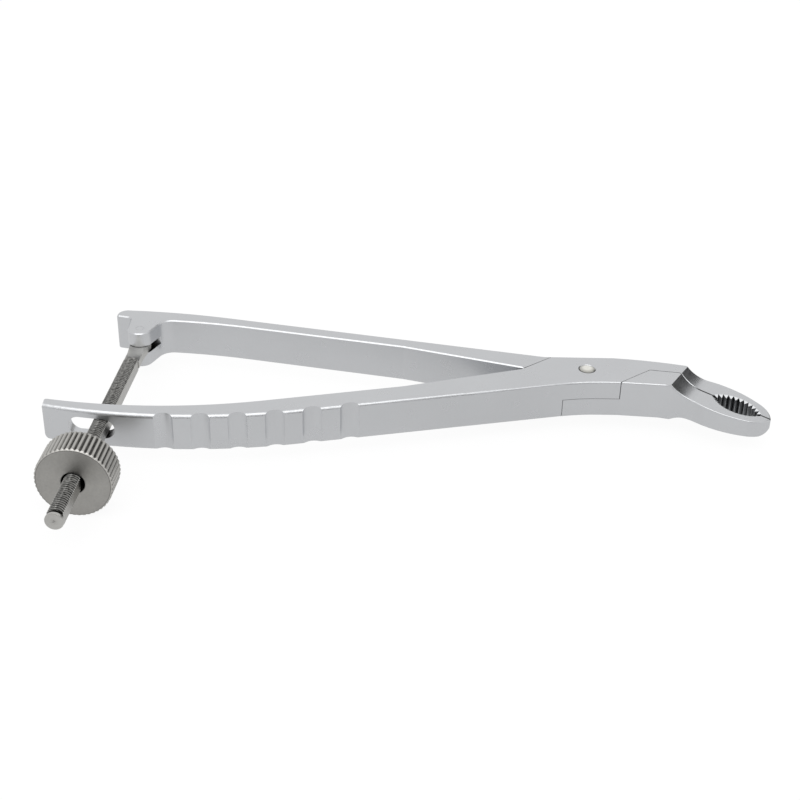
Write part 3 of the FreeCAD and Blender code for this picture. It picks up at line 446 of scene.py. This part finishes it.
def make_satin_grain():
    """Height, tone and roughness from four noises: grain, soft tone, smudges and pits. The pits are
    the cores of the few cells of a Voronoi noise whose random colour is above a threshold."""
    tree, given, out = new_group(
        "satin_grain",
        [("Vector", "NodeSocketVector", None), ("Grain", "NodeSocketFloat", 1.0),
         ("Tone", "NodeSocketFloat", 1.0), ("Pits", "NodeSocketFloat", 1.0),
         ("Rough", "NodeSocketFloat", 0.3)],
        [("Height", "NodeSocketFloat"), ("Tone", "NodeSocketFloat"), ("Roughness", "NodeSocketFloat")])
    place = given.outputs["Vector"]
    fine = add(tree, "ShaderNodeTexNoise", [("Vector", place), ("Scale", GRAIN_SCALE), ("Detail", 3.0)])
    soft = add(tree, "ShaderNodeTexNoise", [("Vector", place), ("Scale", TONE_SCALE), ("Detail", 3.0)])
    smudge = add(tree, "ShaderNodeTexNoise", [("Vector", place), ("Scale", SMUDGE_SCALE), ("Detail", 4.0)])
    cell = add(tree, "ShaderNodeTexVoronoi", [("Vector", place), ("Scale", PIT_SCALE)])
    spot = ramp_node(tree, cell.outputs["Distance"], PIT_CORE, PIT_EDGE, 1.0, 0.0)
    chance = add(tree, "ShaderNodeSeparateColor", [("Color", cell.outputs["Color"])]).outputs["Red"]
    rare = ramp_node(tree, chance, RARE_FROM, RARE_TO)
    pit = math_node(tree, "MULTIPLY", math_node(tree, "MULTIPLY", spot, rare), given.outputs["Pits"])
    grain = math_node(tree, "MULTIPLY", fine.outputs["Fac"], given.outputs["Grain"])
    height = math_node(tree, "SUBTRACT", grain, pit)
    drift = math_node(tree, "SUBTRACT", soft.outputs["Fac"], 0.5)
    patch = math_node(tree, "SUBTRACT", smudge.outputs["Fac"], 0.5)
    tone = math_node(tree, "MULTIPLY_ADD", patch, SMUDGE_TONE, drift)
    tone = math_node(tree, "MULTIPLY", tone, given.outputs["Tone"])
    tone = math_node(tree, "SUBTRACT", tone, math_node(tree, "MULTIPLY", pit, PIT_TONE))
    rough = math_node(tree, "MULTIPLY_ADD", patch, SMUDGE_ROUGHNESS, given.outputs["Rough"])
    tree.links.new(height, out.inputs["Height"])
    tree.links.new(tone, out.inputs["Tone"])
    tree.links.new(rough, out.inputs["Roughness"])
    return tree


satin_grain = make_satin_grain()

# %% [markdown]
# ## Lathe rings
# A turned face keeps the path of the tool as rings round the axis, too fine for a shape, so they are
# a bump. Every point of a ring is as far from the axis, so the group works out that distance from the
# point, the origin and the direction of the axis, and gives a noise of it. The same sum gives the
# direction along the ring, which stretches the reflections across the rings. A group puts out only
# what the export can read, so the nut's own material works that direction out.

# %% Group: turned rings
def ring_direction(tree, place, origin, axis):
    """Vector along the ring through a point, axis x (point - origin). The axis has length 1, so the
    length of the vector is the distance from the axis."""
    arm = add(tree, "ShaderNodeVectorMath", [(0, place), (1, origin)], operation="SUBTRACT").outputs[0]
    return add(tree, "ShaderNodeVectorMath", [(0, axis), (1, arm)], operation="CROSS_PRODUCT").outputs[0]


def make_turned_rings():
    """Rings round an axis: the distance from the axis, and a noise of it as the height."""
    tree, given, out = new_group(
        "turned_rings",
        [("Vector", "NodeSocketVector", None), ("Origin", "NodeSocketVector", None),
         ("Axis", "NodeSocketVector", None), ("Scale", "NodeSocketFloat", 6000.0)],
        [("Height", "NodeSocketFloat"), ("Distance", "NodeSocketFloat")])
    along_ring = ring_direction(
        tree, given.outputs["Vector"], given.outputs["Origin"], given.outputs["Axis"])
    distance = add(tree, "ShaderNodeVectorMath", [(0, along_ring)], operation="LENGTH").outputs["Value"]
    reach = math_node(tree, "MULTIPLY", distance, given.outputs["Scale"])
    line = add(tree, "ShaderNodeTexNoise", [("W", reach), ("Scale", 1.0), ("Detail", 2.0)],
               noise_dimensions="1D")
    tree.links.new(line.outputs["Fac"], out.inputs["Height"])
    tree.links.new(distance, out.inputs["Distance"])
    return tree


turned_rings = make_turned_rings()

# %% [markdown]
# ## The metals
# Each metal is a metallic shader whose colour, roughness and bump come from the groups. The arms are
# cool and light, the nut and the spindle are a warmer, darker steel, and the pin is polished. Oil is a
# dark film over the metal, painted shade in hollows, seams and gaps darkens it the same way, and a
# painted highlight brightens the teeth's bevels. They could be shaders of their own in a mix, but a
# film this thin only has to multiply the metal's colour.

# %% Metal with its grain, its oil, and its painted shade and highlight
HOLLOW_SHADE_REACH = 3.0 * MM
SHUT_FROM, SHUT_TO = 0.12, 0.6
OIL_SCALE = 1500.0
PATCH_FROM, PATCH_TO = 0.35, 0.65
OIL_AND_SHADE_MOST = 0.97


def group_node(tree, group, **values):
    """Node of a group with its inputs linked or set."""
    node = tree.nodes.new("ShaderNodeGroup")
    node.node_tree = group
    for name, value in values.items():
        if isinstance(value, bpy.types.NodeSocket):
            tree.links.new(value, node.inputs[name])
        else:
            node.inputs[name].default_value = value
    return node


def steel(name, colour, rough, grain, tone, pits, bump):
    """Metallic material: colour * (1 + tone), with the grain as bump. Returns the material, its tree,
    its shader, its object coordinates and its bump node, to build on."""
    material = bpy.data.materials.new(name)
    material.use_nodes = True
    tree = material.node_tree
    shader = tree.nodes["Principled BSDF"]
    shader.inputs["Metallic"].default_value = 1.0
    place = tree.nodes.new("ShaderNodeTexCoord").outputs["Object"]
    satin = group_node(tree, satin_grain, Vector=place, Grain=grain, Tone=tone, Pits=pits, Rough=rough)
    bright = math_node(tree, "ADD", satin.outputs["Tone"], 1.0)
    mix = add(tree, "ShaderNodeVectorMath", [(0, colour), (1, bright)], operation="MULTIPLY")
    tree.links.new(mix.outputs[0], shader.inputs["Base Color"])
    tree.links.new(satin.outputs["Roughness"], shader.inputs["Roughness"])
    lump = add(tree, "ShaderNodeBump", [("Height", satin.outputs["Height"]), ("Strength", 1.0),
                                        ("Distance", bump)])
    tree.links.new(lump.outputs["Normal"], shader.inputs["Normal"])
    return material, tree, shader, place, lump


def darken(tree, shader, amount):
    """Multiplies the base colour by 1 - amount, where amount is a socket. Below 0 it brightens."""
    source = shader.inputs["Base Color"].links[0].from_socket
    keep = math_node(tree, "SUBTRACT", 1.0, amount)
    mix = add(tree, "ShaderNodeVectorMath", [(0, source), (1, keep)], operation="MULTIPLY")
    tree.links.new(mix.outputs[0], shader.inputs["Base Color"])


def shade_hollows(tree, shader, reach, share):
    """Painted shade in seams, slits and tooth gaps: darker where less of the sky is open within a reach."""
    open_sky = add(tree, "ShaderNodeAmbientOcclusion", [("Distance", reach)], samples=8).outputs["AO"]
    shut = ramp_node(tree, open_sky, SHUT_FROM, SHUT_TO, share, 0.0)
    darken(tree, shader, shut)


def darken_by_oil_and_shade(tree, shader, place, strength, patches):
    """Darkening by oil and painted shade where the piece's own attribute says so, thicker and thinner in
    patches well under a millimetre wide."""
    mark = add(tree, "ShaderNodeAttribute", attribute_name="oil_and_shade").outputs["Fac"]
    noise = add(tree, "ShaderNodeTexNoise", [("Vector", place), ("Scale", OIL_SCALE), ("Detail", 1.0)])
    thick = ramp_node(tree, noise.outputs["Fac"], PATCH_FROM, PATCH_TO, 1.0 - patches, 1.0 + patches)
    amount = math_node(tree, "MULTIPLY", math_node(tree, "MULTIPLY", mark, strength), thick)
    darken(tree, shader, math_node(tree, "MINIMUM", amount, OIL_AND_SHADE_MOST))


# %% [markdown]
# ## Masks on the arms
# Some painted shade belongs to one place: the edges where the jaws meet, the gaps between the teeth
# and the walls of the slit in the lug. It could be painted on the mesh, but the solids have few
# vertices there, so the masks are worked out from the point and its normal. A dot product gives the
# distance of a point along a direction, and the normal tells an upright face from a slanting or a
# level one. The bevels of the teeth get a painted highlight instead, so there the amount is negative.

# %% Masks from place and slope
JAW_TURN = math.radians(31.0)
JAW_BEND = (25.0 * MM, -1.24 * MM, 0.0)
MOUTH_MIDDLE, MOUTH_HALF_LENGTH, MOUTH_HALF_WIDTH = 17.1 * MM, 7.8 * MM, 4.3 * MM
MOUTH_EDGE = 0.95
PARTING_HALF_WIDTH, PARTING_SOFT = 0.3 * MM, 0.05 * MM
PARTING_FROM, PARTING_TO = 4.0 * MM, 6.0 * MM
UPRIGHT_FROM, UPRIGHT_TO = 0.2, 0.35
TOOTH_TOP_FROM, TOOTH_TOP_TO = 0.94, 0.98
SLIT_HALF_HEIGHT, SLIT_HEIGHT_SOFT = 1.3 * MM, 0.1 * MM
SLIT_REACH, SLIT_REACH_SOFT = 12.0 * MM, 1.0 * MM
SLIT_WALL_FROM, SLIT_WALL_TO = 0.9, 0.95


def within(tree, value, limit, soft):
    """1 where |value| is below a limit, fading to 0 over a soft width."""
    return ramp_node(tree, math_node(tree, "ABSOLUTE", value), limit - soft, limit, 1.0, 0.0)


def along_direction(tree, place, origin, direction):
    """Distance of the point from an origin along a direction."""
    arm = add(tree, "ShaderNodeVectorMath", [(0, place), (1, origin)], operation="SUBTRACT").outputs[0]
    return add(tree, "ShaderNodeVectorMath", [(0, arm), (1, direction)],
               operation="DOT_PRODUCT").outputs["Value"]


def lift(tree):
    """How far a face looks up or down: |z| of its normal, 0 for an upright face and 1 for a level one."""
    facing = tree.nodes.new("ShaderNodeNewGeometry").outputs["True Normal"]
    rise = add(tree, "ShaderNodeVectorMath", [(0, facing), (1, (0.0, 0.0, 1.0))],
               operation="DOT_PRODUCT").outputs["Value"]
    return math_node(tree, "ABSOLUTE", rise)


def jaw_masks(tree, place):
    """Masks in the frame of the jaws, which bend sideways: the edges where they meet, and inside the
    ellipse (across / half width)^2 + (middle / half length)^2 < 1 round the mouth the flanks of the
    teeth, which are upright, and their bevels, which slant."""
    across = along_direction(tree, place, JAW_BEND, (math.sin(JAW_TURN), math.cos(JAW_TURN), 0.0))
    reach = along_direction(tree, place, JAW_BEND, (math.cos(JAW_TURN), -math.sin(JAW_TURN), 0.0))
    wide = math_node(tree, "POWER", math_node(tree, "DIVIDE", across, MOUTH_HALF_WIDTH), 2.0)
    middle = math_node(tree, "SUBTRACT", reach, MOUTH_MIDDLE)
    long = math_node(tree, "POWER", math_node(tree, "DIVIDE", middle, MOUTH_HALF_LENGTH), 2.0)
    mouth = ramp_node(tree, math_node(tree, "ADD", wide, long), MOUTH_EDGE, 1.0, 1.0, 0.0)
    upright = ramp_node(tree, lift(tree), UPRIGHT_FROM, UPRIGHT_TO, 1.0, 0.0)
    level = ramp_node(tree, lift(tree), TOOTH_TOP_FROM, TOOTH_TOP_TO)
    slanting = math_node(tree, "SUBTRACT", 1.0, math_node(tree, "MAXIMUM", upright, level))
    past = ramp_node(tree, reach, PARTING_FROM, PARTING_TO)
    near_line = within(tree, across, PARTING_HALF_WIDTH, PARTING_SOFT)
    parting = math_node(tree, "MULTIPLY", near_line, past)
    parting = math_node(tree, "MULTIPLY", parting, math_node(tree, "SUBTRACT", 1.0, upright))
    flanks = math_node(tree, "MULTIPLY", mouth, upright)
    return parting, flanks, math_node(tree, "MULTIPLY", mouth, slanting)


def painted_slit_shade(tree, place):
    """Mask of the walls of the lug's slit, where shade is painted: near the hinge and near its height, they
    are level.
    """
    height = along_direction(tree, place, tuple(hinge), (0.0, 0.0, 1.0))
    reach = along_direction(tree, place, tuple(hinge), (1.0, 0.0, 0.0))
    level = ramp_node(tree, lift(tree), SLIT_WALL_FROM, SLIT_WALL_TO)
    level = math_node(tree, "MULTIPLY", level, within(tree, reach, SLIT_REACH, SLIT_REACH_SOFT))
    return math_node(tree, "MULTIPLY", within(tree, height, SLIT_HALF_HEIGHT, SLIT_HEIGHT_SOFT), level)


# %% Satin steel of the arms
SEAM_SHADE, FLANK_SHADE, BEVEL_HIGHLIGHT = 0.92, 0.4, -0.5
arm_steel, tree, shader, place, _ = steel(
    "satin_arm_steel", (0.64, 0.65, 0.666), rough=0.29, grain=0.8, tone=0.07, pits=0.8, bump=0.005 * MM)
# Painted shade: the arms darken where less of the sky is open, in seams, the slit and tooth gaps.
shade_hollows(tree, shader, reach=HOLLOW_SHADE_REACH, share=0.9)
parting, flanks, bevels = jaw_masks(tree, place)
# Painted shade along the parting line, on the slit's walls and on the teeth's flanks; painted highlight on
# the teeth's bevels.
painted_seam_and_slit_shade = math_node(tree, "MAXIMUM", parting, painted_slit_shade(tree, place))
darken(tree, shader, math_node(tree, "MULTIPLY", painted_seam_and_slit_shade, SEAM_SHADE))
darken(tree, shader, math_node(tree, "MULTIPLY", flanks, FLANK_SHADE))
darken(tree, shader, math_node(tree, "MULTIPLY", bevels, BEVEL_HIGHLIGHT))

# %% Rod, nut and pin steels
RING_SCALE = 9000.0
RING_DEPTH = 0.01 * MM
TURNED_STRETCH = 0.93
PIN_SHADE = 0.55
PIN_SHADE_FROM, PIN_SHADE_TO = 1.0 * MM, 2.05 * MM
rod_steel, tree, shader, place, _ = steel(
    "oiled_rod_steel_with_painted_shade", (0.53, 0.525, 0.505), rough=0.32, grain=0.8, tone=0.3, pits=0.5, bump=0.01 * MM)
# Oil and painted shade from the rod's own attribute.
darken_by_oil_and_shade(tree, shader, place, strength=0.93, patches=0.22)
# Painted shade: the rod darkens in its grooves and where it runs into the nut.
shade_hollows(tree, shader, reach=HOLLOW_SHADE_REACH / 2, share=0.95)
nut_steel, tree, shader, place, lump = steel(
    "turned_nut_steel", (0.53, 0.52, 0.495), rough=0.30, grain=0.6, tone=0.16, pits=0.6, bump=0.008 * MM)
darken_by_oil_and_shade(tree, shader, place, strength=0.88, patches=0.1)
rings_node = group_node(tree, turned_rings, Vector=place, Origin=tuple(hinge), Axis=tuple(rod_axis),
                        Scale=RING_SCALE)
groove = add(tree, "ShaderNodeBump", [("Height", rings_node.outputs["Height"]), ("Strength", 1.0),
                                      ("Distance", RING_DEPTH), ("Normal", lump.outputs["Normal"])])
tree.links.new(groove.outputs["Normal"], shader.inputs["Normal"])
along_ring = ring_direction(tree, place, tuple(hinge), tuple(rod_axis))
tree.links.new(along_ring, shader.inputs["Tangent"])
shader.inputs["Anisotropic"].default_value = TURNED_STRETCH
pin_steel, tree, shader, place, _ = steel(
    "polished_pin_steel", (0.93, 0.92, 0.86), rough=0.3, grain=0.25, tone=0.08, pits=0.1, bump=0.002 * MM)
round_pin = group_node(tree, turned_rings, Vector=place, Origin=(0.0, 0.0, 0.0), Axis=(0.0, 0.0, 1.0))
from_axis = round_pin.outputs["Distance"]
darken(tree, shader, ramp_node(tree, from_axis, PIN_SHADE_FROM, PIN_SHADE_TO, 0.0, PIN_SHADE))
print("materials:", [m.name for m in (arm_steel, rod_steel, nut_steel, pin_steel)])

# %% [markdown]
# ## Which piece is what
# New pieces ride on the body of the solid that they stand for, so they move with it at every pose,
# and each is given its steel.

# %% Finish each piece
def dress(obj, material):
    """Gives an object this one material."""
    obj.data.materials.clear()
    obj.data.materials.append(material)


for name in ("near_arm", "far_arm", "spindle_pin"):
    dress(nodes[name], arm_steel)
for obj, material, body, slot, node in (
        (rod, rod_steel, "spindle", "spindle_steel", "spindle"),
        (tongue, rod_steel, "spindle", "spindle_steel", "spindle"),
        (nut, nut_steel, "nut", "nut_steel", "knurled_nut"),
        (pin, pin_steel, "near_arm", "polished_steel", "pivot_pin")):
    dress(obj, material)
    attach(obj, body)
    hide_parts(node)
    print(obj.name, "rides on", body, "and stands for", node)

# %% [markdown]
# ## Floor, light and camera
# The photograph is a plain studio picture on white. The floor is white to the camera and light grey to
# the metal, keeps a faint shadow, and can be seen through from below. More light would turn it white
# too, but would bleach the metal, so it glows instead. The sky is white all round, and metal shows
# what is around it, so the grey steps between the faces come from the floor, one large lamp and two
# dark cards.

# %% Floor
FLOOR_DIFFUSE = 0.70
GLOW_IN_METAL, GLOW_TO_CAMERA = 0.82, 1.07
SHARE_IN_METAL, SHARE_TO_CAMERA = 0.75, 0.86
FLOOR_REACH = 3.0
WHITE = (1.0, 1.0, 1.0, 1.0)
SQUARE = ((-1, -1), (1, -1), (1, 1), (-1, 1))
FLOOR_GAP = 0.2 * MM


def floor_material():
    """Plain white mixed with a glow. The share of the glow is what hides the shadow, so it is high but
    below 1 for the camera and for reflections, and 0 for the light that spreads."""
    material = bpy.data.materials.new("white_floor")
    material.use_nodes = True
    tree = material.node_tree
    tree.nodes.remove(tree.nodes["Principled BSDF"])
    plain = add(tree, "ShaderNodeBsdfDiffuse", [("Color", (FLOOR_DIFFUSE,) * 3 + (1.0,))])
    rays = tree.nodes.new("ShaderNodeLightPath")
    to_camera = rays.outputs["Is Camera Ray"]
    strength = ramp_node(tree, to_camera, 0.0, 1.0, GLOW_IN_METAL, GLOW_TO_CAMERA)
    glow = add(tree, "ShaderNodeEmission", [("Color", WHITE), ("Strength", strength)])
    share = math_node(tree, "MULTIPLY_ADD", rays.outputs["Is Glossy Ray"], SHARE_IN_METAL,
                      math_node(tree, "MULTIPLY", to_camera, SHARE_TO_CAMERA))
    blend = add(tree, "ShaderNodeMixShader", [(0, share), (1, plain.outputs[0]), (2, glow.outputs[0])])
    below = tree.nodes.new("ShaderNodeNewGeometry").outputs["Backfacing"]
    clear = tree.nodes.new("ShaderNodeBsdfTransparent")
    whole = add(tree, "ShaderNodeMixShader", [(0, below), (1, blend.outputs[0]), (2, clear.outputs[0])])
    tree.links.new(whole.outputs[0], tree.nodes["Material Output"].inputs["Surface"])
    return material


floor_mesh = bpy.data.meshes.new("floor")
low = cad_box[0][2] - FLOOR_GAP
floor_corners = [(x * FLOOR_REACH, y * FLOOR_REACH, low) for x, y in SQUARE]
floor_mesh.from_pydata(floor_corners, [], [(0, 1, 2, 3)])
floor = bpy.data.objects.new("floor", floor_mesh)
bpy.context.scene.collection.objects.link(floor)
dress(floor, floor_material())
print("floor at mm", round(low / MM, 2))

# %% Sky, lamp and dark cards
SKY_IN_METAL = 0.83
LAMP_TARGET = (-0.03, 0.0, 0.0)
CARD_TARGET = (0.03, 0.0, 0.0)
scene = bpy.context.scene
world = bpy.data.worlds.new("studio")
scene.world = world
world.use_nodes = True
tree = world.node_tree
sky = tree.nodes["Background"]
sky.inputs["Color"].default_value = WHITE
rays = tree.nodes.new("ShaderNodeLightPath")
strength = ramp_node(tree, rays.outputs["Is Camera Ray"], 0.0, 1.0, SKY_IN_METAL, 1.0)
tree.links.new(strength, sky.inputs["Strength"])


def aim(place, target):
    """Matrix that stands at a place with its -Z towards the target."""
    turn = (Vector(target) - Vector(place)).to_track_quat("-Z", "Y")
    return Matrix.Translation(place) @ turn.to_matrix().to_4x4()


def softbox(name, place, size, watts):
    """Large rectangular lamp that faces the object."""
    data = bpy.data.lights.new(name, "AREA")
    data.shape = "RECTANGLE"
    data.size, data.size_y = size
    data.energy = watts
    lamp = bpy.data.objects.new(name, data)
    lamp.matrix_world = aim(place, LAMP_TARGET)
    scene.collection.objects.link(lamp)
    print(name, "watts", watts)


softbox("key_light", (-0.15, -0.5, 0.72), size=(1.0, 0.6), watts=2.1)


def dark_card(name, place, size, level):
    """Card that only reflections see. It faces the object."""
    wide, tall = size[0] / 2, size[1] / 2
    mesh = bpy.data.meshes.new(name)
    matrix = aim(place, CARD_TARGET)
    corners = [matrix @ Vector((x * wide, y * tall, 0)) for x, y in SQUARE]
    mesh.from_pydata([tuple(corner) for corner in corners], [], [(0, 1, 2, 3)])
    card = bpy.data.objects.new(name, mesh)
    scene.collection.objects.link(card)
    material = bpy.data.materials.new(name)
    material.use_nodes = True
    shader = material.node_tree.nodes["Principled BSDF"]
    shader.inputs["Base Color"].default_value = (level, level, level, 1)
    dress(card, material)
    card.visible_camera = False
    card.visible_diffuse = False
    card.visible_shadow = False
    print(name, "at", place)


dark_card("right_card", (0.44, 0.25, 0.146), size=(0.36, 0.36), level=0.0)
dark_card("front_card", (0.0, -0.95, 0.10), size=(1.7, 0.15), level=0.03)

# %% [markdown]
# ## Camera
# The place and the angles were fitted to the photograph's edges. The three axes of the camera are the
# view direction, from yaw and pitch, and the two directions square to it, turned by the roll.

# %% Camera at the photograph's angle
CAMERA_PLACE = Vector((-0.054770, -0.344930, 0.198701))
YAW, PITCH_DOWN, ROLL = 0.010882, 0.534771, 0.022935
FOCAL_PIXELS = 1446.512
PICTURE_PIXELS = 800
SENSOR_MM = 36.0
forward = Vector((math.sin(YAW) * math.cos(PITCH_DOWN), math.cos(YAW) * math.cos(PITCH_DOWN),
                  -math.sin(PITCH_DOWN)))
level_right = Vector((math.cos(YAW), -math.sin(YAW), 0.0))
level_up = level_right.cross(forward)
axis_x = math.cos(ROLL) * level_right + math.sin(ROLL) * level_up
axis_y = -math.sin(ROLL) * level_right + math.cos(ROLL) * level_up
camera_data = bpy.data.cameras.new("camera")
camera_data.sensor_width = SENSOR_MM
camera_data.lens = FOCAL_PIXELS / PICTURE_PIXELS * SENSOR_MM
camera_data.clip_start = 10.0 * MM
camera = bpy.data.objects.new("camera", camera_data)
camera.matrix_world = Matrix.Translation(CAMERA_PLACE) @ Matrix(
    (axis_x, axis_y, -forward)).transposed().to_4x4()
scene.collection.objects.link(camera)
scene.camera = camera
scene.view_settings.view_transform = "Standard"
print("lens mm", round(camera_data.lens, 2))
